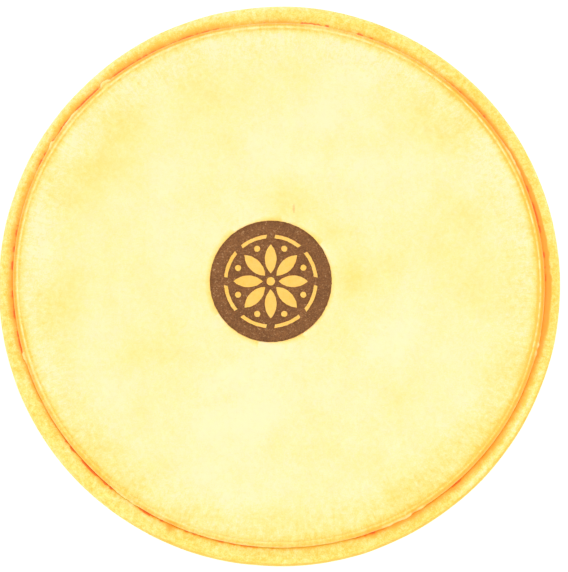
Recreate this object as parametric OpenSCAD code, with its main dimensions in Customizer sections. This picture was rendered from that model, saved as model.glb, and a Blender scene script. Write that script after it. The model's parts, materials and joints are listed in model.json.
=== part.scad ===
// Natural-skin hand drum head: one soaked hide stretched flat and tucked round a steel
// flesh hoop. The head lies on its bead, with the playing side up. All lengths are in mm.
// Origin: the middle of the hoop, on the surface that the bead rests on.

/* [Head] */
// Outside diameter over the tucked bead
head_d = 218; // [160:1:400]
// Height from the resting surface to the playing surface
head_h = 14; // [12:0.5:24]
// Thickness of the hide
hide_t = 1; // [0.6:0.1:1.1]
// Outer radius of the shoulder between the playing skin and the collar
shoulder_r = 2; // [1.6:0.1:3]

/* [Flesh hoop] */
// Diameter of the steel wire that the hide is wrapped round
wire_d = 5; // [4:0.5:8]
// Length of the butt weld that closes the wire ring
weld_l = 3; // [2:0.5:8]
// Direction of the weld, in degrees anticlockwise from +X
weld_at = 250; // [0:5:355]

/* [Tuck] */
// Where the hide's trimmed edge stops, in degrees round the wire from its outer side
tail_end = 128; // [100:1:128]
// Height of the thin ridge that the skin was stretched over
ridge_h = 0.25; // [0.1:0.05:0.4]
// Depth of the crease just inside the ridge
crease_depth = 0.15; // [0.05:0.05:0.3]

/* [Printed roundel] */
// Diameter of the printed roundel
roundel_d = 47; // [30:1:80]
// Sideways distance of the roundel from the head's middle
roundel_x = -3.1; // [-15:0.1:15]
// Distance of the roundel from the head's middle, towards +Y
roundel_y = 0.6; // [-15:0.1:15]
// Thickness of the dry ink
ink_t = 0.1; // [0.05:0.05:0.2]
// Number of petals left bare in the ink
petals = 8; // [6:1:12]

/* [Hidden] */

$fa = 2;
$fs = 0.5;

wire_r = wire_d / 2;
wrap_r = wire_r + hide_t;
hoop_r = head_d / 2 - wrap_r;
hoop_z = wrap_r;
collar_out_r = hoop_r - wire_r;
collar_in_r = collar_out_r - hide_t;
skin_under_z = head_h - hide_t;

ridge_round = 1.2;
ridge_r = collar_out_r - shoulder_r - 0.1;
crease_round = 1;
crease_r = ridge_r - 1.3;

weld_angle = weld_l / hoop_r * 180 / PI;

roundel_r = roundel_d / 2;
band_out_r = 0.77 * roundel_r;
band_in_r = 0.71 * roundel_r;
band_bridge = 0.06 * roundel_r;
petal_tip_r = 0.61 * roundel_r;
petal_root_r = 0.13 * roundel_r;
petal_middle_r = (petal_tip_r + petal_root_r) / 2;
petal_half_l = (petal_tip_r - petal_root_r) / 2;
petal_half_w = 0.68 * petal_middle_r * sin(180 / petals);
petal_arc_r = (petal_half_l * petal_half_l + petal_half_w * petal_half_w) / (2 * petal_half_w);
dot_ring_r = 0.58 * roundel_r;
dot_r = 0.05 * roundel_r;
eye_r = 0.07 * roundel_r;

// Area under a flat top with one round corner, from the hoop's level up
module corner_area(width, top, corner) {
    translate([0, hoop_z]) square([width - corner, top - hoop_z]);
    translate([0, hoop_z]) square([width, top - corner - hoop_z]);
    translate([width - corner, top - corner]) circle(corner);
}

// Section of the playing skin, its ridge and crease, the shoulder and the collar
module pan_section() {
    difference() {
        union() {
            corner_area(collar_out_r, head_h, shoulder_r);
            translate([ridge_r, head_h + ridge_h - ridge_round]) circle(ridge_round);
        }
        corner_area(collar_in_r, skin_under_z, shoulder_r - hide_t);
        translate([crease_r, head_h + crease_round - crease_depth]) circle(crease_round);
    }
}

// Section of the hide's border, wrapped under and over the wire up to its trimmed edge
module wrap_section() {
    far = 2 * wrap_r;
    translate([hoop_r, hoop_z]) difference() {
        circle(wrap_r);
        circle(wire_r);
        polygon([
            [0, 0],
            [-far, 0],
            [-far, far],
            [far * cos(tail_end), far * sin(tail_end)]
        ]);
    }
}

module wire_arc(start, sweep) {
    rotate([0, 0, start]) rotate_extrude(angle = sweep) translate([hoop_r, hoop_z]) circle(wire_r);
}

// A leaf between two equal arcs that meet at its root and its tip
module petal() {
    intersection() {
        translate([petal_middle_r, petal_arc_r - petal_half_w]) circle(petal_arc_r);
        translate([petal_middle_r, petal_half_w - petal_arc_r]) circle(petal_arc_r);
    }
}

// The bare band near the roundel's edge, with an inked bridge in line with each petal
module bare_band() {
    difference() {
        circle(band_out_r);
        circle(band_in_r);
        for (i = [0 : petals - 1])
            rotate(360 / petals * i) translate([0, -band_bridge]) square([roundel_r, 2 * band_bridge]);
    }
}

module bare_rosette() {
    for (i = [0 : petals - 1]) {
        rotate(360 / petals * i) petal();
        rotate(360 / petals * (i + 0.5)) translate([dot_ring_r, 0]) circle(dot_r);
    }
    circle(eye_r);
}

module skin_head() {
    color([0.98, 0.91, 0.62]) rotate_extrude() {
        pan_section();
        wrap_section();
    }
}

module flesh_hoop() {
    color([0.62, 0.63, 0.65]) wire_arc(weld_at + weld_angle / 2, 360 - weld_angle);
}

module hoop_weld() {
    color([0.42, 0.41, 0.42]) wire_arc(weld_at - weld_angle / 2, weld_angle);
}

module printed_roundel() {
    color([0.57, 0.39, 0.25]) translate([roundel_x, roundel_y, head_h]) linear_extrude(ink_t) {
        difference() {
            circle(roundel_r);
            bare_band();
            bare_rosette();
        }
    }
}

skin_head();
flesh_hoop();
hoop_weld();
printed_roundel();
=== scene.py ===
import json
import math

import bpy
import numpy as np
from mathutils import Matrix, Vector
from mathutils.geometry import delaunay_2d_cdt


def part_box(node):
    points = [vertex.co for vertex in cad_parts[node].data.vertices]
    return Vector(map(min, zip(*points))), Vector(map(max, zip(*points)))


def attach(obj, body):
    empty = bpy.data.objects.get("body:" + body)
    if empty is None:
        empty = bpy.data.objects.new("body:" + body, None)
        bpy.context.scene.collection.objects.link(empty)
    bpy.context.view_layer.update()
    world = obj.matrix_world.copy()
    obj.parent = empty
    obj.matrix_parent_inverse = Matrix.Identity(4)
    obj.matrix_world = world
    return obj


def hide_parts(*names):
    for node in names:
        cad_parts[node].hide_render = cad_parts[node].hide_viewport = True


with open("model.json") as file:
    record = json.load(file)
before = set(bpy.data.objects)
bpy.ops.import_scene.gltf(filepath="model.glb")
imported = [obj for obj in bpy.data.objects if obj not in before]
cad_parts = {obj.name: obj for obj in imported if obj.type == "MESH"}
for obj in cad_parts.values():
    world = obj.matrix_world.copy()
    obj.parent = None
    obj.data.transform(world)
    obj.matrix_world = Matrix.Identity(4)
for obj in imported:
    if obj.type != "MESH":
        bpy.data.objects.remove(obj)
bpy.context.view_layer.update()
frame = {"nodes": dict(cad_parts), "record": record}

# A natural-skin drum head: one hide, tucked round a steel hoop, with a printed rosette.
# Lengths are in mm until a mesh is made, except for the floor, the lights and the camera,
# which are in metres. Directions are in degrees, anticlockwise from +X.

M_PER_MM = 0.001

# ---------------------------------------------------------------- sizes from the frame


def box_mm(node):
    """Lowest and highest corner of a CAD part."""
    low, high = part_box(node)
    return np.array(low) / M_PER_MM, np.array(high) / M_PER_MM


mounts = {mount["name"]: mount for mount in frame["record"]["mounts"]}
skin_low, _ = box_mm("skin_head")
wire_low, wire_high = box_mm("flesh_hoop")
ink_low, ink_high = box_mm("printed_roundel")

WIRE_R = (wire_high[2] - wire_low[2]) / 2
HOOP_Z = (wire_high[2] + wire_low[2]) / 2
HIDE_T = wire_low[2] - skin_low[2]
WRAP_R = WIRE_R + HIDE_T
BORE_R = mounts["shell_collar"]["dims"]["r_mm"]
COLLAR_R = BORE_R + HIDE_T
HOOP_R = COLLAR_R + WIRE_R
UNDER_Z = mounts["bearing_edge_seat"]["pos_m"][2] / M_PER_MM
TOP_Z = UNDER_Z + HIDE_T
ROUNDEL = (ink_low[:2] + ink_high[:2]) / 2
ROUNDEL_R = (ink_high[0] - ink_low[0]) / 2

# ---------------------------------------------------------------- shape of the hide

COLS = 1440  # points round the rim
SHOULDER_R = 2.0  # outer radius between the playing skin and the collar
SHOULDER_AT = COLLAR_R - SHOULDER_R
RIDGE_AT, RIDGE_W, RIDGE_H = SHOULDER_AT + 0.14, 0.36, 0.22
RIDGE_HIGHLIGHT_W = 0.24  # half width of the ridge's painted highlight
CREASE_AT, CREASE_W, CREASE_H = RIDGE_AT - 0.52, 0.32, 0.18
WAVES_FROM, WAVES_TO = 96.0, 101.0  # radii between which the skin's slight waves die away
LIT_AND_SHADED_RIM_FROM, LIT_AND_SHADED_RIM_TO = 82.0, 97.0  # radii between which it turns yellower with painted shade at the lower right, or paler with painted light at the upper left
LEAN_ALL, LEAN_BORE = -0.74, -0.2  # how far out the collar's outside and bore are all round
LEAN_FOOT, LEAN_TOP = HOOP_Z + 0.7, HOOP_Z + 3.3  # heights between which the collar moves over
LEAN_FROM, LEAN_TO = 93.0, 99.5  # radii between which the playing skin moves over with it
PLEATS_FULL, PLEATS_END = HOOP_Z + 2.5, HOOP_Z + 8.0  # heights between which its folds die away
FLAP_LOW, FLAP_HIGH = TOP_Z - 3.5, TOP_Z - 1.8  # heights between which torn flaps stand out
EDGE_OVERLAP = 0.24  # how far the trimmed edge reaches in past the collar's outside
GRAIN_STEP, FLESH_STEP = 2.2, 3.0  # between the flat skin's rings of points
FLAT_END = 95.0  # radius that those rings stop at
QUARTER_IN, EIGHTH_IN = 86.0, 44.0  # radii inside which they have fewer than half of COLS
RIM_RADII = (95.5, 96.6, 97.6, 98.4, 98.9, 99.3, 99.6, 99.9, 100.15, 100.4, 100.65, 100.85)
INNER_RIM_RADII = (99.5, 97.5)  # of the rings under those
HIGH_HEIGHTS = (11.2, 10.2, 9.2, 8.2)  # of the rings high on the collar's outside
LOW_HEIGHTS = (7.3, 6.6, 6.0, 5.4, 4.6)  # of those low on it, and in the bore
CLOSE_DOWN_TO = 15  # the turn round the wire down to which the border's rings are close
BEAD_FLESH, UNDER_FLESH = 0.45, 0.6  # how far the hide looks like its flesh side

# How far out of round the skin dried: (lobes, mm, direction of a lobe in degrees)
OUT_OF_ROUND = ((2, 0.76, -22), (3, 0.27, 33), (4, 0.13, -37))

# Stretches of the groove where the trimmed edge stands off the collar, with painted shade in red
# along them: (from, to, strength)
GAPS = (
    (-3, 4, 0.6), (5.4, 7, 0.9), (10, 24, 0.75), (13.6, 14.6, 0.5), (27, 32, 0.45),
    (39, 41, 0.9), (43.5, 51, 0.5), (45.6, 46.8, 0.5), (66, 70, 0.6), (71.3, 72.8, 0.9),
    (79, 85.5, 0.9), (91, 93.4, 0.8), (103, 119, 0.65), (119, 129, 0.7), (132.5, 148, 0.75),
    (150, 153.5, 0.7), (167, 173, 0.75), (174, 177, 0.95), (180, 187.5, 0.8),
    (190, 197, 0.75), (199, 212, 0.3), (211, 216, 0.5), (216, 232.5, 1.0),
    (236.8, 241, 0.95), (241, 247.5, 0.7), (249, 258, 0.6), (259, 269, 0.55),
    (286.3, 291.2, 0.9), (291.2, 293.3, 0.6), (310, 313.6, 0.7), (357, 360, 0.6),
)

# Flaps of torn hide lying over the groove: (direction, half width in degrees, reach in mm)
FLAPS = (
    (28.2, 4.3, 0.5), (81.6, 2.6, 0.3), (130.6, 1.5, 1.3), (141.5, 2.6, 0.4),
    (148.7, 0.9, 0.8), (196.2, 1.2, 0.6), (234.6, 2.4, 0.45), (298.4, 5.0, 0.6),
    (303.6, 0.5, 0.5), (345.5, 3.2, 0.4),
)

# The groove's orange, partly staining and partly painted shade: (direction, strength, reach over
# the bead in mm)
STAIN_AND_SHADE = (
    (0, 1.2, 3.0), (26, 1.15, 3.1), (31, 1.2, 3.5), (47, 1.2, 3.8), (53, 0.62, 3.6),
    (62, 0.65, 4.0), (74, 0.55, 3.4), (80, 0.45, 2.4), (90, 0.75, 3.6), (96, 0.6, 4.4),
    (104, 0.8, 4.6), (124, 0.85, 4.8), (134, 0.75, 4.6), (148, 0.65, 4.8), (160, 0.7, 4.6),
    (170, 0.85, 4.6), (186, 0.85, 4.2), (198, 0.65, 3.4), (214, 0.45, 2.6), (228, 0.55, 1.8),
    (234, 0.25, 1.4), (240, 0.5, 1.6), (244.6, 0.55, 2.0), (246, 1.0, 6.0), (247.4, 0.5, 2.0),
    (252, 0.4, 1.8), (272, 0.35, 1.6), (284, 0.35, 1.8), (290, 0.75, 3.4), (300, 0.85, 3.8),
    (306, 0.68, 3.7), (314, 0.78, 4.1), (340, 0.8, 3.9), (350, 1.0, 3.2),
)

# How yellow the stretched border and its crease are: (direction, strength)
CREASE = (
    (0, 1.0), (45, 0.95), (66, 0.75), (105, 0.6), (145, 0.75), (180, 0.65), (205, 0.55),
    (225, 0.45), (245, 0.15), (290, 0.25), (305, 0.45), (330, 0.7), (350, 0.98),
)

# Broad patches of the playing skin: (x, y, radius, tone), where a tone over 0 is yellower
PATCHES = (
    (-61, 60, 12, 0.34), (-69, 47, 9, 0.22), (-24, 68, 14, 0.06), (4, 30, 8, 0.3),
    (27, 2, 9, 0.34), (22, 22, 9, 0.22), (42, 6, 10, 0.1), (71, 4, 14, 0.2),
    (62, 60, 12, 0.16), (-57, -29, 9, 0.2), (-86, -8, 13, 0.3),
    (-83, 36, 13, 0.34), (-70, -58, 9, 0.1), (-52, 2, 12, 0.1), (-36, 82, 13, 0.2),
    (-18, -55, 24, -0.14), (34, -46, 22, -0.08), (44, 34, 18, -0.1), (-50, 20, 14, -0.1),
    (76, 24, 9, 0.1), (-2, 56, 22, -0.1), (-38, -24, 10, 0.08), (-61, -4, 8, -0.1),
    (52, -82, 14, 0.12),
)

# A brown smear above the print: its middle, and half its width and height
SMEAR, SMEAR_SIZE = (5.8, 28.8), (0.9, 2.9)


def smooth(x, low, high):
    """0 below low, 1 above high, and an S-shaped ramp between them."""
    t = np.clip((np.asarray(x, float) - low) / (high - low), 0, 1)
    return t * t * (3 - 2 * t)


def hump(x, middle, width):
    """1 at the middle, falling away on both sides."""
    return np.exp(-(((x - middle) / width) ** 2))


def ring_noise(degrees, knots, seed):
    """Smooth noise from -1 to 1 that closes on itself after a turn."""
    values = np.random.default_rng(seed).uniform(-1, 1, knots)
    along = (np.asarray(degrees, float) % 360) / 360 * knots
    cell = np.floor(along).astype(int)
    t = smooth(along - cell, 0, 1)
    return values[cell % knots] * (1 - t) + values[(cell + 1) % knots] * t


def plane_noise(x, y, size, seed):
    """Smooth noise from -1 to 1 over the plane, with lumps of the given size."""
    n = 64
    grid = np.random.default_rng(seed).uniform(-1, 1, (n, n))
    u, v = np.asarray(x) / size + n / 2, np.asarray(y) / size + n / 2
    i, j = np.floor(u).astype(int), np.floor(v).astype(int)
    s, t = smooth(u - i, 0, 1), smooth(v - j, 0, 1)
    near = grid[i % n, j % n] * (1 - s) + grid[(i + 1) % n, j % n] * s
    far = grid[i % n, (j + 1) % n] * (1 - s) + grid[(i + 1) % n, (j + 1) % n] * s
    return near * (1 - t) + far * t


def place(r, degrees):
    """x and y of points at a radius and a direction."""
    return r * np.cos(np.radians(degrees)), r * np.sin(np.radians(degrees))


def from_to(degrees, start, end, soft=0.35):
    """1 between two directions, also across 0, with soft ends."""
    half = (end - start) / 2
    away = np.abs((degrees - (start + half) + 180) % 360 - 180)
    return 1 - smooth(away, half - soft, half + soft)


def lean(degrees, all_round=LEAN_ALL):
    """How far out of its true circle the collar stands, in mm."""
    out = all_round + 0.08 * ring_noise(degrees, 26, 3)
    for lobes, size, towards in OUT_OF_ROUND:
        out = out + size * np.cos(np.radians(lobes * (degrees - towards)))
    return out


def pleats(degrees):
    """Small upright folds at the foot of the collar, in mm."""
    return 0.06 * ring_noise(degrees, 150, 55) + 0.05 * ring_noise(degrees, 64, 56)


def gap(degrees):
    """0 where the trimmed edge lies on the collar, up to 1 where it stands off, in short dashes."""
    dashes = smooth(ring_noise(degrees, 470, 11) + 0.5 * ring_noise(degrees, 190, 12), -0.8, 0.2)
    out = np.zeros_like(degrees)
    for start, end, strength in GAPS:
        out = np.maximum(out, strength * from_to(degrees, start, end))
    return out * (0.3 + 0.7 * dashes)


def flap(degrees):
    """Reach of the torn flaps over the groove, in mm."""
    ragged = 0.7 + 0.45 * ring_noise(degrees, 320, 21) + 0.3 * ring_noise(degrees, 720, 22)
    out = np.zeros_like(degrees)
    for towards, half, reach in FLAPS:
        out = np.maximum(out, reach * from_to(degrees, towards - half, towards + half, 0.5 * half))
    return np.clip(out * ragged, 0, None)


def stain(degrees):
    """Strength of the groove's orange, partly staining and partly painted shade, and its reach over
    the bead in mm.
    """
    towards, strengths, reaches = zip(*STAIN_AND_SHADE)
    strength = np.interp(degrees % 360, towards, strengths, period=360)
    return strength, np.interp(degrees % 360, towards, reaches, period=360)


def waves(x, y):
    """Slight unevenness of the playing skin, in mm, with no small waves under the print."""
    far = np.hypot(x - ROUNDEL[0], y - ROUNDEL[1])
    small = 0.035 * plane_noise(x, y, 13, 32) * smooth(far, 24, 40)
    return 0.07 * plane_noise(x, y, 34, 31) + small


def tone(x, y):
    """How yellow the playing skin is: 0 on the whole, and more over 0."""
    out = 0.1 * plane_noise(x, y, 22, 41) + 0.08 * plane_noise(x, y, 9, 42)
    for px, py, radius, amount in PATCHES:
        out = out + amount * hump(np.hypot(x - px, y - py), 0, radius)
    degrees = np.degrees(np.arctan2(y, x)) % 360
    rim = smooth(np.hypot(x, y), LIT_AND_SHADED_RIM_FROM, LIT_AND_SHADED_RIM_TO)
    # Painted shade on the rim at the lower right, and painted light on it at the upper left
    yellower = 0.28 * from_to(degrees, 212, 350, 25)
    paler = 0.1 * from_to(degrees, 80, 205, 20)
    return out + rim * (yellower - paler)


def print_tone(x, y):
    """How much yellower the skin is where it was primed for the print."""
    return 0.6 * (np.hypot(x - ROUNDEL[0], y - ROUNDEL[1]) < 1.02 * ROUNDEL_R)


def rim_tone(radius, degrees):
    """How much yellower the stretched border is than the rest of the skin."""
    worn = 0.85 + 0.3 * ring_noise(degrees, 75, 62) + 0.25 * ring_noise(degrees, 420, 63)
    towards, strengths = zip(*CREASE)
    strong = np.interp(degrees, towards, strengths, period=360)
    crease = 0.5 * worn * strong * hump(radius, CREASE_AT - 0.1, 0.6)
    return crease + (0.1 + 0.36 * strong) * smooth(radius, CREASE_AT - 3.6, CREASE_AT)


def ridge_highlight(radius, degrees):
    """Painted highlight along the ridge, which shows least at the lower right."""
    worn = 0.62 + 0.6 * ring_noise(degrees, 540, 61)
    return worn * hump(radius, RIDGE_AT, RIDGE_HIGHLIGHT_W) * (1 - 0.8 * from_to(degrees, 212, 340, 12))


# ---------------------------------------------------------------- meshes made of rings

# Besides the hide's own colour, the masks carry painted shade in the groove, along the gaps, on the
# rim and on the bead, and a painted highlight on the ridge
MASKS = ("stain", "gap", "pale", "tone", "flesh")


class Rings:
    """A closed surface made of rings of points, each joined to the one before."""

    def __init__(self):
        self.points, self.masks, self.faces = [], {name: [] for name in MASKS}, []
        self.starts, self.sizes, self.total = [], [], 0

    def add(self, x, y, z, **masks):
        """A ring at the given coordinates, where a mask that isn't named is 0."""
        x = np.atleast_1d(x)
        n = len(x)
        self.points.append(np.stack([x, np.broadcast_to(y, n), np.broadcast_to(z, n)], 1))
        for name in MASKS:
            self.masks[name].append(np.broadcast_to(masks.get(name, 0.0), n).astype(float))
        self.starts.append(self.total)
        self.sizes.append(n)
        self.total += n
        if len(self.sizes) > 1:
            self.join(len(self.sizes) - 2, len(self.sizes) - 1)

    def join(self, one, two):
        """Faces between two rings with the same number of points, or twice as many, or one."""
        a, b = self.starts[one], self.starts[two]
        n, m = self.sizes[one], self.sizes[two]
        if n == m:
            i, j = np.arange(n), (np.arange(n) + 1) % n
            self.faces += np.stack([a + i, b + i, b + j, a + j], 1).tolist()
        elif n == 1 or m == 1:
            count = max(n, m)
            i, j = np.arange(count), (np.arange(count) + 1) % count
            tip = np.full(count, a if n == 1 else b)
            fan = [tip, b + i, b + j] if n == 1 else [a + j, a + i, tip]
            self.faces += np.stack(fan, 1).tolist()
        elif m == 2 * n:
            i, j = np.arange(n), (np.arange(n) + 1) % n
            even, odd, last = b + 2 * i, b + 2 * i + 1, b + 2 * j
            self.faces += np.stack([a + i, even, odd], 1).tolist()
            self.faces += np.stack([a + i, odd, a + j], 1).tolist()
            self.faces += np.stack([odd, last, a + j], 1).tolist()
        else:
            i, j = np.arange(m), (np.arange(m) + 1) % m
            even, odd, last = a + 2 * i, a + 2 * i + 1, a + 2 * j
            self.faces += np.stack([even, b + i, odd], 1).tolist()
            self.faces += np.stack([odd, b + i, b + j], 1).tolist()
            self.faces += np.stack([odd, b + j, last], 1).tolist()

    def close(self):
        """Joins the last ring to the first, as on a tube."""
        self.join(len(self.sizes) - 1, 0)

    def piece(self, name, material):
        return make_piece(
            name,
            np.concatenate(self.points),
            self.faces,
            material,
            {mask: np.concatenate(parts) for mask, parts in self.masks.items()},
        )


def make_piece(name, points, faces, material, masks=None):
    mesh = bpy.data.meshes.new(name)
    mesh.from_pydata((np.asarray(points) * M_PER_MM).tolist(), [], faces)
    mesh.polygons.foreach_set("use_smooth", [True] * len(mesh.polygons))
    for mask, values in (masks or {}).items():
        layer = mesh.attributes.new(mask, "FLOAT", "POINT")
        layer.data.foreach_set("value", values.astype(np.float32))
    mesh.materials.append(material)
    mesh.update()
    piece = bpy.data.objects.new(name, mesh)
    bpy.context.scene.collection.objects.link(piece)
    return piece


def directions(count):
    """Evenly spread directions, from +X round."""
    return np.arange(count) * 360.0 / count


def flat_plan(step):
    """Radius and number of points of each ring on the flat of the skin, from the middle out."""
    plan = [(0.0, 1)]
    r = step
    while r < FLAT_END:
        plan.append((r, COLS // 8 if r < EIGHTH_IN else COLS // 4 if r < QUARTER_IN else COLS // 2))
        r += step
    return plan


def moved_over(radius, height, degrees, all_round):
    """The radius after the collar, and the skin's border with it, moved over in drying."""
    share = smooth(height, LEAN_FOOT, LEAN_TOP) * smooth(radius, LEAN_FROM, LEAN_TO)
    return radius + lean(degrees, all_round) * share


def waved(radius, height, x, y):
    """The height with the playing skin's waves."""
    return height + waves(x, y) * (1 - smooth(radius, WAVES_FROM, WAVES_TO))


def grain_ring(rings, radius, height, count=COLS, torn=0.0, groove=0.0, slit=0.0):
    """A ring on the hide's outside, with its ridge, crease, pleats and torn flaps."""
    degrees = directions(count)
    folded = smooth(radius, COLLAR_R - 0.5, COLLAR_R - 0.1)
    folded = folded * (1 - smooth(height, PLEATS_FULL, PLEATS_END))
    r = moved_over(radius, height, degrees, LEAN_ALL) + pleats(degrees) * folded
    x, y = place(r, degrees)
    yellow = tone(x, y) + rim_tone(radius, degrees) + print_tone(x, y)
    ripple = 1 + 0.45 * ring_noise(degrees, 90, 51) + 0.25 * ring_noise(degrees, 360, 52)
    z = waved(radius, height, x, y) + RIDGE_H * ripple * hump(radius, RIDGE_AT, RIDGE_W)
    z = z - CREASE_H * (2 - ripple) * hump(radius, CREASE_AT, CREASE_W)
    out = flap(degrees) * smooth(radius, SHOULDER_AT + 0.2, COLLAR_R - 0.35)
    x, y = place(r + out * smooth(height, FLAP_LOW, FLAP_HIGH), degrees)
    torn = torn * np.clip(3.0 * flap(degrees), 0, 1)
    rings.add(
        x, y, z,
        tone=yellow,
        pale=ridge_highlight(radius, degrees) + torn,
        stain=groove * stain(degrees)[0] * (1 - torn),
        gap=slit * gap(degrees),
    )


def flesh_ring(rings, radius, height, count=COLS // 2):
    """A ring on the hide's inside, under the skin and in the bore."""
    degrees = directions(count)
    x, y = place(moved_over(radius, height, degrees, LEAN_BORE), degrees)
    rings.add(x, y, waved(radius, height, x, y), tone=tone(x, y) + 0.2, flesh=UNDER_FLESH)


def add_playing_side(rings):
    """The skin from its middle out, the crease, the ridge and the shoulder."""
    for radius, count in flat_plan(GRAIN_STEP):
        grain_ring(rings, radius, TOP_Z, count)
    for radius in RIM_RADII:
        grain_ring(rings, radius, TOP_Z)
    for turn in np.radians(np.arange(90, -1, -9)):
        drop = 1 - math.sin(turn)
        grain_ring(
            rings,
            SHOULDER_AT + SHOULDER_R * math.cos(turn),
            TOP_Z - SHOULDER_R * drop,
            torn=0.5 * smooth(drop, 0.06, 0.25) * (1 - smooth(drop, 0.45, 0.9)),
            groove=smooth(drop, 0.0, 0.13) * (1 - 0.1 * smooth(drop, 0.5, 1.0)),
        )


def add_collar(rings):
    """The collar down to the wire, and the hide against the wire as far as its underside."""
    for height in (*HIGH_HEIGHTS, *LOW_HEIGHTS, HOOP_Z):
        # The orange, partly staining and partly painted shade, and the painted red shade of the
        # gaps, are strongest low in the groove
        low = 1 - smooth(height, 6.8, 9.0)
        grain_ring(rings, COLLAR_R, height, groove=0.55 + 0.7 * low, slit=low)
    for turn in np.radians(np.arange(202.5, 271, 22.5)):
        radius, height = HOOP_R + WIRE_R * math.cos(turn), HOOP_Z + WIRE_R * math.sin(turn)
        grain_ring(rings, radius, height, groove=0.6)


def add_underside(rings):
    """The hide's inside: from under the wire up the bore, and in to the middle of the skin."""
    for turn in np.radians(np.arange(270, 179, -15)):
        radius, height = HOOP_R + WRAP_R * math.cos(turn), HOOP_Z + WRAP_R * math.sin(turn)
        flesh_ring(rings, radius, height, COLS)
    for height in (*reversed(LOW_HEIGHTS), 9.0, 11.0):
        flesh_ring(rings, BORE_R, height)
    inner_r = SHOULDER_R - HIDE_T
    for turn in np.radians(np.arange(0, 91, 22.5)):
        height = UNDER_Z - inner_r + inner_r * math.sin(turn)
        flesh_ring(rings, SHOULDER_AT + inner_r * math.cos(turn), height)
    for radius in INNER_RIM_RADII:
        flesh_ring(rings, radius, UNDER_Z)
    for radius, count in reversed(flat_plan(FLESH_STEP)):
        flesh_ring(rings, radius, UNDER_Z, count)


def build_playing_skin(material):
    """The hide from the middle of the playing skin to the lowest line under the wire."""
    rings = Rings()
    add_playing_side(rings)
    add_collar(rings)
    add_underside(rings)
    return rings.piece("playing_skin", material)


# On the tucked border, a turn is in degrees round the wire from its outer side upwards, and
# outward is the distance in mm from the trimmed edge out over the bead.


def bead_tone(degrees, turn):
    """How yellow the bead is, with painted shade low on its outer side at the lower right, a
    painted highlight high on its outer slope at the lower right, and painted light on its outer
    side at the upper left.
    """
    shade = 0.12 * ring_noise(degrees, 46, 77) + 0.1 * ring_noise(degrees + turn, 110, 78)
    # The next three are painted shade, a painted highlight and painted light
    side = 0.3 * from_to(degrees, 235, 352, 16) * smooth(-turn, -45, -15)
    lit = 0.4 * from_to(degrees, 311, 341, 8) * hump(turn, 70, 15)
    pale = 0.3 * from_to(degrees, 80, 165, 25) * smooth(-turn, -95, -55)
    return 0.5 + shade + side - lit - pale


def bead_stain_and_shade(degrees, turn, outward):
    """How orange the bead is: in the groove, partly staining and partly painted shade, and with
    painted shade at the groove's foot and along its outer side, towards the bottom.
    """
    strength, reach = stain(degrees)
    reach = reach + 0.35 * ring_noise(degrees, 90, 79) + 0.25 * ring_noise(degrees, 300, 70)
    crisp = from_to(degrees, -12, 27, 8)  # where the orange ends in a clear line
    groove = strength * (1 - smooth(outward, reach * (0.1 + 0.65 * crisp), reach))
    # Painted shade at the foot of the groove and on the bead's outer side, towards the bottom
    foot = 0.7 * from_to(degrees, 184, 352, 8) * (1 - smooth(outward, 0.15, 0.75))
    outer_side_shade = 0.62 * from_to(degrees, 236, 346, 10) * hump(turn, 30, 15)
    return (groove + foot) * (turn > 0) + outer_side_shade


def bead_gap(degrees, turn, outward):
    """Painted shade in red on the bead beside the gaps."""
    reach = 0.65 + 0.4 * np.cos(np.radians(degrees - 100))
    return gap(degrees) * (1 - smooth(outward, reach, reach + 0.7)) * (turn > 0)


def bead_swell(degrees, turn):
    """The bead's broad lumps, and the fine creases near the trimmed edge, in mm."""
    up = smooth(turn, 30, 115)
    low_lumps = 0.1 * ring_noise(degrees, 34, 75) * smooth(turn, -60, 0) * (1 - up)
    high_lumps = 0.08 * ring_noise(degrees, 80, 76) * smooth(turn, -40, 20)
    creases = 0.054 * (ring_noise(degrees, 300, 73) + ring_noise(degrees, 130, 74))
    return low_lumps + high_lumps + creases * up


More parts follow.
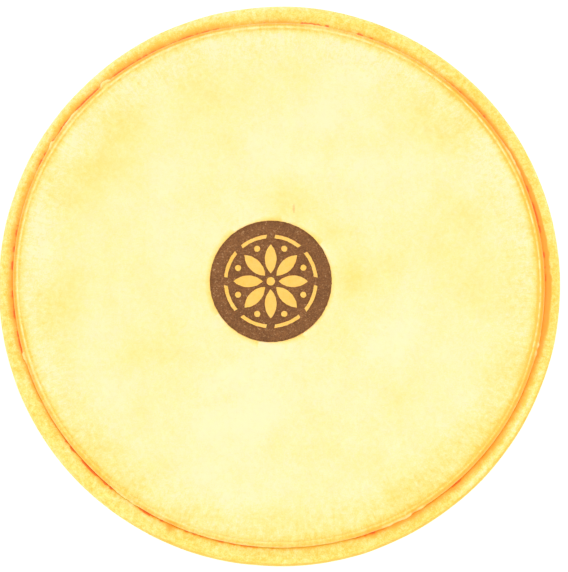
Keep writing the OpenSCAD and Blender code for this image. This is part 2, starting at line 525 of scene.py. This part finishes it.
def build_tucked_border(material):
    """The hide's border, from the lowest line under the wire round to the trimmed edge."""
    rings = Rings()
    degrees = directions(COLS)
    gaps, stained_and_shaded = gap(degrees), stain(degrees)[0]
    ragged = 0.05 * ring_noise(degrees, 240, 71) + 0.04 * ring_noise(degrees, 620, 72)
    edge_r = COLLAR_R + lean(degrees) + pleats(degrees) - EDGE_OVERLAP + 0.8 * ragged + 0.5 * gaps
    # The turn at which the hide was trimmed, and how far from there the edge moved to edge_r
    cut = np.degrees(np.arccos(np.clip((edge_r - HOOP_R) / WRAP_R, -0.47, -0.3)))
    pull = edge_r - HOOP_R - WRAP_R * np.cos(np.radians(cut))

    def ring(turn, radius, inward=0.0, **masks):
        turn = np.broadcast_to(turn, COLS).astype(float)
        outer_face = radius > WIRE_R + 0.5 * HIDE_T
        around = radius + (bead_swell(degrees, turn) if outer_face else 0.0)
        pulled = pull * smooth(turn, 92, cut)
        r = HOOP_R + around * np.cos(np.radians(turn)) + pulled - inward
        z = HOOP_Z + around * np.sin(np.radians(turn)) - (0.1 + ragged) * pulled
        x, y = place(r, degrees)
        outward = r - edge_r
        masks.setdefault("stain", bead_stain_and_shade(degrees, turn, outward))
        masks.setdefault("gap", bead_gap(degrees, turn, outward))
        rings.add(x, y, z, tone=bead_tone(degrees, turn), flesh=BEAD_FLESH, **masks)

    # Round the outside, from the trimmed edge to the lowest line
    ring(cut, WRAP_R - 0.12)
    for share in np.linspace(1, 0, 30)[1:]:
        ring(CLOSE_DOWN_TO + (cut - 1.5 - CLOSE_DOWN_TO) * share, WRAP_R)
    for turn in np.arange(5, -91, -9.5):
        ring(turn, WRAP_R)
    # Back against the wire, and up the trimmed edge, which lies against the collar
    for turn in (-90, -70, -45, -10, 30, 60, 85, 105):
        ring(turn, WIRE_R + 0.02, stain=0.6, gap=0.3)
    against_collar = 0.12 + 0.5 * gaps
    ring(cut - 1.0, WIRE_R + 0.02, stain=stained_and_shaded, gap=gaps)
    ring(cut + 0.4, WIRE_R + 0.3, against_collar, stain=stained_and_shaded, gap=gaps)
    ring(cut + 0.6, WIRE_R + 0.7, against_collar, stain=stained_and_shaded, gap=gaps)
    rings.close()
    return rings.piece("tucked_border", material)


# ---------------------------------------------------------------- the printed rosette

PETALS = 8
PETAL_ROOT, PETAL_TIP = 0.13 * ROUNDEL_R, 0.61 * ROUNDEL_R
PETAL_MIDDLE, PETAL_HALF_L = (PETAL_TIP + PETAL_ROOT) / 2, (PETAL_TIP - PETAL_ROOT) / 2
PETAL_HALF_W = 0.68 * PETAL_MIDDLE * math.sin(math.pi / PETALS)
BAND_OUT_R, BAND_IN_R = 0.77 * ROUNDEL_R, 0.71 * ROUNDEL_R
BAND_BRIDGE = 0.06 * ROUNDEL_R  # half width of the ink that crosses the band
DOT_RING_R, DOT_R, EYE_R = 0.58 * ROUNDEL_R, 0.05 * ROUNDEL_R, 0.07 * ROUNDEL_R
FINE_STEP = 0.2  # between the points of the dots and the eye
FILM_STEP = 1.6  # between the film's inner points
FILM_MARGIN = 0.5  # from those to the roundel's edge
WELD_DISTANCE = 1e-5  # points nearer than this become one
PRINT_LIFT, PRINT_SINK = 0.05, 0.03  # mm above and below the skin's surface


def arc(x, y, radius, start, end, step=0.35):
    """Points along an arc, at about step mm, without its last point."""
    count = max(int(abs(math.radians(end - start)) * radius / step), 6)
    turns = np.radians(start + (end - start) * np.arange(count) / count)
    return np.stack([x + radius * np.cos(turns), y + radius * np.sin(turns)], 1)


def turned(points, degrees):
    """The points, turned anticlockwise about the middle."""
    c, s = math.cos(math.radians(degrees)), math.sin(math.radians(degrees))
    return points @ np.array([[c, s], [-s, c]])


def petal_outline():
    """A leaf between two equal arcs that meet at its root and its tip."""
    bend_r = (PETAL_HALF_L**2 + PETAL_HALF_W**2) / (2 * PETAL_HALF_W)
    sweep = math.degrees(math.asin(PETAL_HALF_L / bend_r))
    upper = arc(PETAL_MIDDLE, PETAL_HALF_W - bend_r, bend_r, 90 - sweep, 90 + sweep)
    lower = arc(PETAL_MIDDLE, bend_r - PETAL_HALF_W, bend_r, 270 - sweep, 270 + sweep)
    return np.concatenate([upper, lower])


def band_outline():
    """The bare band's stretch between two bridges."""
    out_cut, in_cut = math.degrees(BAND_BRIDGE / BAND_OUT_R), math.degrees(BAND_BRIDGE / BAND_IN_R)
    far = arc(0, 0, BAND_OUT_R, out_cut, 360 / PETALS - out_cut)
    near = arc(0, 0, BAND_IN_R, 360 / PETALS - in_cut, in_cut)
    return np.concatenate([far, near])


def rosette_outlines():
    """The roundel's edge, then every bare shape inside it."""
    dot = arc(DOT_RING_R, 0, DOT_R, 0, 360, FINE_STEP)
    loops = [arc(0, 0, ROUNDEL_R, 0, 360)]
    loops += [turned(band_outline(), 360 / PETALS * i) for i in range(PETALS)]
    loops += [turned(petal_outline(), 360 / PETALS * i) for i in range(PETALS)]
    loops += [turned(dot, 360 / PETALS * (i + 0.5)) for i in range(PETALS)]
    loops.append(arc(0, 0, EYE_R, 0, 360, FINE_STEP))
    return loops


def bled(loop, seed):
    """The outline as ink leaves it on hide: a little uneven."""
    x, y = loop[:, 0], loop[:, 1]
    dx = 0.07 * plane_noise(x, y, 0.9, seed) + 0.05 * plane_noise(x, y, 0.4, seed + 1)
    dy = 0.07 * plane_noise(x, y, 0.9, seed + 2) + 0.05 * plane_noise(x, y, 0.4, seed + 3)
    return loop + np.stack([dx, dy], 1)


def inside(loop, points):
    """Which of the points are inside the closed outline."""
    x, y = points[:, 0, None], points[:, 1, None]
    (x1, y1), (x2, y2) = loop.T, np.roll(loop, -1, 0).T
    rise = np.where(y1 == y2, 1.0, y2 - y1)
    crossed = ((y1 > y) != (y2 > y)) & (x < x1 + (y - y1) / rise * (x2 - x1))
    return crossed.sum(1) % 2 == 1


def inked_faces(loops):
    """Points and triangles of the ink: inside the first outline and outside the others."""
    points, edges = [], []
    for loop in loops:
        first = len(points)
        points += [Vector(p) for p in loop]
        edges += [(first + i, first + (i + 1) % len(loop)) for i in range(len(loop))]
    reach, inner_r = np.arange(-ROUNDEL_R, ROUNDEL_R, FILM_STEP), ROUNDEL_R - FILM_MARGIN
    points += [Vector((u, v)) for u in reach for v in reach if math.hypot(u, v) < inner_r]
    triangles_inside = 1  # the kind of result wanted
    cut = delaunay_2d_cdt(points, edges, [], triangles_inside, WELD_DISTANCE)
    points, faces = np.array([tuple(p) for p in cut[0]]), cut[2]
    middles = np.array([points[list(face)].mean(0) for face in faces])
    depth = sum(inside(loop, middles).astype(int) for loop in loops)
    faces = [face for face, loops_round_it in zip(faces, depth) if loops_round_it == 1]
    used = sorted({i for face in faces for i in face})
    renumber = {old: new for new, old in enumerate(used)}
    return points[used], [tuple(renumber[i] for i in face) for face in faces]


def build_rosette(material):
    """A thin closed film of ink on the playing skin, following its surface."""
    points, faces = inked_faces([bled(loop, 81) for loop in rosette_outlines()])
    points = points + ROUNDEL
    n = len(points)
    surface = TOP_Z + waves(points[:, 0], points[:, 1])
    top = np.column_stack([points, surface + PRINT_LIFT])
    bottom = np.column_stack([points, surface - PRINT_SINK])
    edges = {(a, b) for face in faces for a, b in zip(face, face[1:] + face[:1])}
    walls = [(b, a, a + n, b + n) for a, b in sorted(edges) if (b, a) not in edges]
    under = [tuple(i + n for i in reversed(face)) for face in faces]
    surfaces = faces + under + walls
    return make_piece("printed_rosette", np.concatenate([top, bottom]), surfaces, material)


# ---------------------------------------------------------------- materials


class Shader:
    """A node material. Its calls add nodes and give back their outputs."""

    def __init__(self, name):
        self.material = bpy.data.materials.new(name)
        self.material.use_nodes = True
        self.tree = self.material.node_tree
        self.tree.nodes.clear()
        self.out = self.tree.nodes.new("ShaderNodeOutputMaterial")
        self.surface = self.tree.nodes.new("ShaderNodeBsdfPrincipled")
        self.tree.links.new(self.surface.outputs[0], self.out.inputs["Surface"])
        coordinates = self.node("ShaderNodeTexCoord")
        self.mm = self.vector("SCALE", coordinates.outputs["Object"], scale=1 / M_PER_MM)

    def node(self, kind, inputs=(), **settings):
        made = self.tree.nodes.new(kind)
        for name, value in settings.items():
            setattr(made, name, value)
        for name, value in dict(inputs).items():
            self.put(made.inputs[name], value)
        return made

    def put(self, socket, value):
        if isinstance(value, bpy.types.NodeSocket):
            self.tree.links.new(value, socket)
        else:
            socket.default_value = value

    def vector(self, operation, *values, scale=None):
        made = self.node("ShaderNodeVectorMath", operation=operation)
        for i, value in enumerate(values):
            self.put(made.inputs[i], value)
        if scale is not None:
            made.inputs["Scale"].default_value = scale
        return made.outputs["Value" if operation == "LENGTH" else "Vector"]

    def math(self, operation, *values, clamp=False):
        made = self.node("ShaderNodeMath", operation=operation, use_clamp=clamp)
        for i, value in enumerate(values):
            self.put(made.inputs[i], value)
        return made.outputs[0]

    def total(self, *pairs, start=0.0, clamp=False):
        """start + the sum of value * weight."""
        out = start
        for value, weight in pairs:
            out = self.math("MULTIPLY_ADD", value, weight, out)
        return self.math("ADD", out, 0.0, clamp=True) if clamp else out

    def mask(self, name):
        """One of the masks that the mesh carries."""
        return self.node("ShaderNodeAttribute", attribute_name=name).outputs["Fac"]

    def noise(self, size, detail=2.0, roughness=0.5, at=None, distortion=0.0):
        """Noise centred on 0, from about -0.3 to 0.3, with lumps of size mm."""
        inputs = {
            "Vector": self.mm if at is None else at,
            "Scale": 1.0 / size,
            "Detail": detail,
            "Roughness": roughness,
            "Distortion": distortion,
        }
        made = self.node("ShaderNodeTexNoise", inputs)
        return self.math("SUBTRACT", made.outputs[0], 0.5)

    def cells(self, size):
        """Distance from the middle of the nearest cell, with cells of size mm."""
        inputs = {"Vector": self.mm, "Scale": 1.0 / size}
        return self.node("ShaderNodeTexVoronoi", inputs).outputs["Distance"]

    def ramp(self, value, low, high, to_low=0.0, to_high=1.0):
        """to_low below low, to_high above high, and an S-shaped ramp between them."""
        inputs = {
            "Value": value, "From Min": low, "From Max": high, "To Min": to_low, "To Max": to_high,
        }
        return self.node("ShaderNodeMapRange", inputs, interpolation_type="SMOOTHSTEP").outputs[0]

    def mix(self, amount, one, two):
        """Colour one where amount is 0, and colour two where it is 1."""
        made = self.node("ShaderNodeMix", data_type="RGBA")
        factor, colours, result = 0, (6, 7), 2  # the node's sockets for colours
        self.put(made.inputs[factor], amount)
        for socket, colour in zip(colours, (one, two)):
            linked = isinstance(colour, bpy.types.NodeSocket)
            self.put(made.inputs[socket], colour if linked else (*colour, 1.0))
        return made.outputs[result]

    def shades(self, value, colours):
        """A ramp through the colours, as value goes from 0 to 1."""
        made = self.node("ShaderNodeValToRGB", {0: value})
        stops = made.color_ramp.elements
        while len(stops) < len(colours):
            stops.new(0.5)
        for i, colour in enumerate(colours):
            stops[i].position = i / (len(colours) - 1)
            stops[i].color = (*colour, 1.0)
        return made.outputs["Color"]

    def away_from(self, spot, size=(1.0, 1.0)):
        """Distance from a spot on the skin, in mm, or 1 on the edge of an oval round it."""
        flat = self.vector("SUBTRACT", self.mm, (*spot, 0.0))
        return self.vector("LENGTH", self.vector("MULTIPLY", flat, (1 / size[0], 1 / size[1], 0.0)))

    def round_the_head(self, width, length):
        """Coordinates whose cells are width mm round the head and length mm across the rim."""
        flat = self.vector("MULTIPLY", self.mm, (1.0, 1.0, 0.0))
        radius = self.vector("LENGTH", flat)
        towards = self.vector("SCALE", self.vector("NORMALIZE", flat), scale=HOOP_R / width)
        height = self.node("ShaderNodeSeparateXYZ", {0: self.mm}).outputs["Z"]
        along = self.math("DIVIDE", self.math("ADD", radius, height), length)
        up = self.node("ShaderNodeCombineXYZ", {"Z": along}).outputs[0]
        return self.vector("ADD", towards, up)

    def bump(self, height_mm):
        """Small relief of the given height."""
        inputs = {"Strength": 1.0, "Distance": M_PER_MM, "Height": height_mm}
        self.put(self.surface.inputs["Normal"], self.node("ShaderNodeBump", inputs).outputs[0])

    def set(self, **values):
        """Sets the surface's inputs, and gives back the finished material."""
        for name, value in values.items():
            self.put(self.surface.inputs[name.replace("_", " ")], value)
        return self.material


# From the palest hide to the yellowest
GRAIN_COLOURS = (
    (0.88, 0.725, 0.41), (0.88, 0.69, 0.27), (0.88, 0.63, 0.155), (0.88, 0.53, 0.07),
)
FLESH_COLOURS = ((0.90, 0.81, 0.34), (0.90, 0.745, 0.18), (0.90, 0.62, 0.075))
GROOVE_ORANGE = (0.95, 0.39, 0.028)
GAP_SHADE_RED = (0.95, 0.22, 0.03)
TORN_PALE_AND_HIGHLIGHT = (0.88, 0.74, 0.33)
SMEAR_BROWN = (0.80, 0.50, 0.16)
INK_BROWN = (0.192, 0.076, 0.023)
INK_WORN = (0.46, 0.27, 0.12)
STEEL_DARK, STEEL_LIGHT = (0.34, 0.33, 0.32), (0.55, 0.55, 0.56)
WELD_DARK, WELD_LIGHT = (0.20, 0.17, 0.16), (0.36, 0.28, 0.22)
STRETCHED_FROM = 78.0  # radius from which the hide shows that it was stretched


def with_print_marks(s, colour, flesh, speck):
    """The halo round the print, on the grain side only, and the smear above the print."""
    halo = s.ramp(s.away_from(ROUNDEL), ROUNDEL_R - 0.1, ROUNDEL_R + 0.5, 0.5, 0.0)
    on_grain = s.ramp(flesh, 0.0, 0.3, 1.0, 0.0)
    colour = s.mix(s.math("MULTIPLY", halo, on_grain), colour, GROOVE_ORANGE)
    oval = s.ramp(s.away_from(SMEAR, SMEAR_SIZE), 0.2, 1.0, 1.0, 0.0)
    smear = s.total((oval, 0.7), (speck, 1.1))
    return s.mix(s.ramp(smear, 0.25, 0.7, 0.0, 0.9), colour, SMEAR_BROWN)


def with_rim_marks(s, colour, streaks, fibre, mottle, grain):
    """The groove's orange, partly staining and partly painted shade, painted shade in red along its
    gaps, a painted highlight along the ridge, and the places torn pale.
    """
    stained_and_shaded, gaps, pale = s.mask("stain"), s.mask("gap"), s.mask("pale")
    # The groove's orange: partly staining, partly painted shade
    stain_and_shade_depth = s.total((stained_and_shaded, 1.0), (streaks, 0.55), (mottle, 0.5), (grain, 0.2))
    colour = s.mix(s.ramp(stain_and_shade_depth, 0.12, 1.1), colour, GROOVE_ORANGE)
    # Painted shade in red along the gaps
    dashes = s.total((gaps, 1.0), (fibre, 0.8), (grain, 0.4))
    colour = s.mix(s.ramp(dashes, 0.2, 0.8), colour, GAP_SHADE_RED)
    # A painted highlight along the ridge, and the pale of torn flaps
    worn = s.total((pale, 1.0), (grain, 0.3), (fibre, 0.3))
    return s.mix(s.ramp(worn, 0.1, 0.95), colour, TORN_PALE_AND_HIGHLIGHT)


def hide_material():
    """Both sides of the hide, coloured by the masks that the meshes carry."""
    s = Shader("hide")
    toned, stained_and_shaded, flesh = s.mask("tone"), s.mask("stain"), s.mask("flesh")
    mottle, grain, speck = s.noise(9.0, 3.0, 0.55), s.noise(1.6, 3.0, 0.6), s.noise(0.5, 2.0, 0.5)
    wisps = s.noise(3.2, 3.0, 0.55, distortion=1.2)
    wrinkles = s.noise(3.4, 4.0, 0.62, distortion=0.6)
    pores = s.ramp(s.cells(0.55), 0.0, 0.22, -1.0, 0.0)
    # Fibres run across the rim, and show on the grain side where the hide was stretched
    streak = s.noise(1.0, 2.0, 0.55, at=s.round_the_head(1.1, 7.0))
    fibre = s.noise(1.0, 2.0, 0.6, at=s.round_the_head(0.42, 3.2))
    stretched = s.ramp(s.away_from((0.0, 0.0)), STRETCHED_FROM, SHOULDER_AT)
    strokes = s.math("MULTIPLY", stretched, s.total((flesh, -1.3), start=1.0))
    streaks = s.math("MULTIPLY", s.total((streak, 0.55), (fibre, 0.5)), strokes)
    # The hide's own colour is more uneven on the flesh side and where it was stretched
    rough = s.total((flesh, 2.9), (stretched, 1.2), start=1.0)
    fine = s.math("MULTIPLY", s.total((grain, 0.42), (speck, 0.38), (wisps, 0.3)), rough)
    depth = s.total(
        (toned, 1.0), (mottle, 0.3), (fine, 1.0), (streaks, 0.8), (stained_and_shaded, 0.5), start=0.18,
    )
    colour = s.mix(flesh, s.shades(depth, GRAIN_COLOURS), s.shades(depth, FLESH_COLOURS))
    colour = with_print_marks(s, colour, flesh, speck)
    colour = with_rim_marks(s, colour, streaks, fibre, mottle, grain)
    s.bump(
        s.total((pores, 0.006), (speck, 0.02), (grain, 0.045), (wrinkles, 0.05), (streaks, 0.16))
    )
    dullness = s.total((grain, 0.35), (mottle, 0.25), (flesh, 0.16), start=0.42)
    return s.set(
        Base_Color=colour, Roughness=dullness, Specular_IOR_Level=0.35,
        Subsurface_Weight=0.4, Subsurface_Radius=(1.0, 0.4, 0.12), Subsurface_Scale=0.002,
    )


def ink_material():
    """Brown ink, uneven in tone and worn off the hide's highest grains."""
    s = Shader("ink")
    patchy, speck = s.noise(6.0, 3.0, 0.6), s.noise(0.4, 2.0, 0.6)
    leather, grains = s.noise(0.75, 3.0, 0.65), s.noise(0.8, 3.0, 0.75, distortion=0.8)
    tint = s.total((patchy, 0.8), (leather, 1.1), (speck, 2.0), start=0.5, clamp=True)
    darker, lighter = tuple(0.55 * c for c in INK_BROWN), tuple(1.4 * c for c in INK_BROWN)
    worn = s.ramp(s.total((leather, 0.8), (grains, 2.3), (patchy, 0.3)), 0.15, 0.6, 0.0, 0.95)
    colour = s.mix(worn, s.mix(tint, darker, lighter), INK_WORN)
    s.bump(s.total((leather, 0.05), (speck, 0.03)))
    dullness = s.total((leather, 0.4), start=0.6)
    return s.set(Base_Color=colour, Roughness=dullness, Specular_IOR_Level=0.15)


def wire_material():
    """Drawn steel wire with some tarnish."""
    s = Shader("hoop_steel")
    drawn = s.noise(1.0, 3.0, 0.6, at=s.round_the_head(9.0, 0.25))
    tarnish = s.noise(6.0, 3.0, 0.6)
    tint = s.total((tarnish, 1.6), (drawn, 0.6), start=0.45, clamp=True)
    colour = s.mix(tint, STEEL_DARK, STEEL_LIGHT)
    s.bump(s.total((drawn, 0.03)))
    return s.set(Base_Color=colour, Metallic=1.0, Roughness=s.total((drawn, 0.4), start=0.36))


def weld_material():
    """Dull steel that melted and was left as it was."""
    s = Shader("weld_steel")
    beads, heat = s.cells(1.1), s.noise(2.2, 2.0, 0.5)
    colour = s.mix(s.ramp(heat, -0.2, 0.2), WELD_DARK, WELD_LIGHT)
    s.bump(s.total((beads, 0.2), (heat, 0.1)))
    return s.set(Base_Color=colour, Metallic=1.0, Roughness=s.total((heat, 0.5), start=0.55))


def floor_material():
    """Pale and matt, with a little light of its own so that it stays white."""
    s = Shader("floor")
    s.bump(s.total((s.noise(1.2, 2.0), 0.01)))
    return s.set(
        Base_Color=(0.93, 0.93, 0.93, 1.0), Roughness=0.9, Specular_IOR_Level=0.1,
        Emission_Color=(1.0, 1.0, 1.0, 1.0), Emission_Strength=0.25,
    )


# ---------------------------------------------------------------- the object

hide = hide_material()

playing_skin = build_playing_skin(hide)
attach(playing_skin, "root")
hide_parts("skin_head")

tucked_border = build_tucked_border(hide)
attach(tucked_border, "root")
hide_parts("skin_head")

printed_rosette = build_rosette(ink_material())
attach(printed_rosette, "root")
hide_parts("printed_roundel")

for node, material in (("flesh_hoop", wire_material()), ("hoop_weld", weld_material())):
    mesh = frame["nodes"][node].data
    mesh.materials.clear()
    mesh.materials.append(material)

# ---------------------------------------------------------------- floor, light and camera

FLOOR_HALF = 6.0
SKY_STRENGTH = 0.9

# Soft square lights that face the object: (name, place, size, watts)
LIGHTS = (
    ("overhead", (0.05, -0.1, 1.75), 1.2, 11.0),
    ("key", (-0.9, 0.9, 1.2), 0.9, 2.2),
    ("fill", (0.9, -0.9, 1.2), 0.9, 2.6),
)

CAMERA_AWAY = 1.5  # from the object
CAMERA_TILT = 4.6  # degrees off square on
CAMERA_TOWARDS = -79.0  # direction that the camera stands off to
CAMERA_AIM = (0.00186, -0.00039, 0.0035)
FIELD_WIDTH = 0.2205  # across the picture, at the object
SENSOR_MM = 36.0


def add_floor():
    mesh = bpy.data.meshes.new("floor")
    sides = ((-1, -1), (1, -1), (1, 1), (-1, 1))
    corners = [(FLOOR_HALF * x, FLOOR_HALF * y, 0.0) for x, y in sides]
    mesh.from_pydata(corners, [], [(0, 1, 2, 3)])
    mesh.materials.append(floor_material())
    floor = bpy.data.objects.new("floor", mesh)
    bpy.context.scene.collection.objects.link(floor)


def add_area_light(name, spot, size, watts):
    light = bpy.data.lights.new(name, "AREA")
    light.energy, light.size = watts, size
    lamp = bpy.data.objects.new(name, light)
    lamp.location = spot
    lamp.rotation_euler = (-Vector(spot)).to_track_quat("-Z", "Y").to_euler()
    bpy.context.scene.collection.objects.link(lamp)


def add_soft_surroundings():
    world = bpy.data.worlds.new("studio")
    world.use_nodes = True
    sky = world.node_tree.nodes["Background"]
    sky.inputs["Color"].default_value = (1.0, 1.0, 1.0, 1.0)
    sky.inputs["Strength"].default_value = SKY_STRENGTH
    bpy.context.scene.world = world


def add_camera():
    data = bpy.data.cameras.new("camera")
    data.sensor_fit = "HORIZONTAL"
    data.sensor_width = SENSOR_MM
    data.lens = SENSOR_MM * CAMERA_AWAY / FIELD_WIDTH
    data.clip_start, data.clip_end = 0.05, 20.0
    camera = bpy.data.objects.new("camera", data)
    tilt, towards = math.radians(CAMERA_TILT), math.radians(CAMERA_TOWARDS)
    sideways = math.sin(tilt)
    away = Vector((sideways * math.cos(towards), sideways * math.sin(towards), math.cos(tilt)))
    camera.location = Vector(CAMERA_AIM) + away * CAMERA_AWAY
    # The picture's top stays in line with +Y
    right = Vector((0.0, 1.0, 0.0)).cross(away).normalized()
    up = away.cross(right)
    turn = camera.rotation_euler.to_matrix()
    turn.col[0], turn.col[1], turn.col[2] = right, up, away
    camera.rotation_euler = turn.to_euler()
    bpy.context.scene.collection.objects.link(camera)
    bpy.context.scene.camera = camera


add_floor()
add_soft_surroundings()
for light in LIGHTS:
    add_area_light(*light)
add_camera()
bpy.context.scene.view_settings.view_transform = "Standard"
